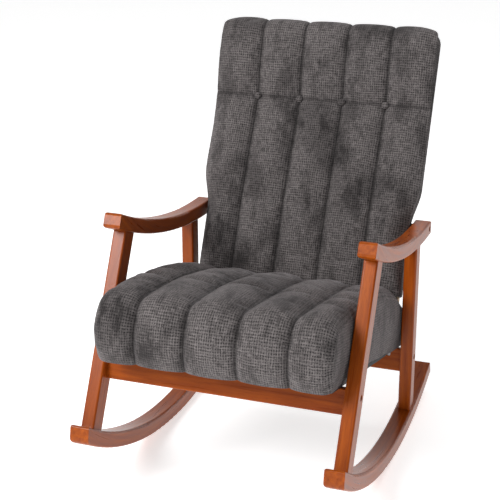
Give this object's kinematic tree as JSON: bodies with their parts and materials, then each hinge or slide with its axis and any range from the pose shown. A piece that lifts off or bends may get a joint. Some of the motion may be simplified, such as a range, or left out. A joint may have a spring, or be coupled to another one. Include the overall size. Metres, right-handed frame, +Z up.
{
  "type": "rocking chair",
  "caption": "Wooden rocking armchair on curved rockers, with an upholstered seat and a reclined back in sewn vertical channels, the back tufted with covered buttons.",
  "frame": {"origin": "on the floor under the centre of the chair's bounding box", "axes": "+X to the side that the picture shows on the right, which is a sitter's left; the chair faces -Y; +Z up"},
  "size_m": [0.62, 0.9569, 0.9556],
  "materials": {
    "stained_wood": "satin",
    "bare_wood": "matte",
    "zinc_steel": "satin",
    "webbing": "matte",
    "foam": "matte",
    "chenille": "matte",
    "lining": "matte",
    "black_plastic": "matte"
  },
  "bodies": {
    "root": {"left_rocker": "stained_wood", "right_rocker": "stained_wood", "left_front_leg": "stained_wood", "right_front_leg": "stained_wood", "left_rear_leg": "stained_wood", "right_rear_leg": "stained_wood", "left_armrest": "stained_wood", "right_armrest": "stained_wood", "front_rail": "stained_wood", "rear_rail": "stained_wood", "leg_dowels": "bare_wood", "leg_bolts": "zinc_steel", "barrel_nuts": "zinc_steel", "seat_front_board": "bare_wood", "seat_rear_board": "bare_wood", "seat_left_board": "bare_wood", "seat_right_board": "bare_wood", "seat_cross_member": "bare_wood", "seat_corner_blocks": "bare_wood", "seat_screws": "zinc_steel", "seat_long_webbing": "webbing", "seat_cross_webbing": "webbing", "seat_foam": "foam", "seat_front_roll": "foam", "seat_cover": "chenille", "seat_dust_cover": "lining", "back_left_stile": "bare_wood", "back_right_stile": "bare_wood", "back_top_rail": "bare_wood", "back_middle_rail": "bare_wood", "back_bottom_rail": "bare_wood", "back_board": "bare_wood", "back_foam": "foam", "back_cover": "chenille", "back_rear_board": "bare_wood", "back_rear_cover": "chenille", "tuft_buttons": "chenille", "button_ties": "webbing", "arm_bolts": "zinc_steel", "arm_spacers": "black_plastic", "insert_nuts": "zinc_steel", "mending_plates": "zinc_steel", "plate_screws": "zinc_steel"}
  },
  "joints": []
}
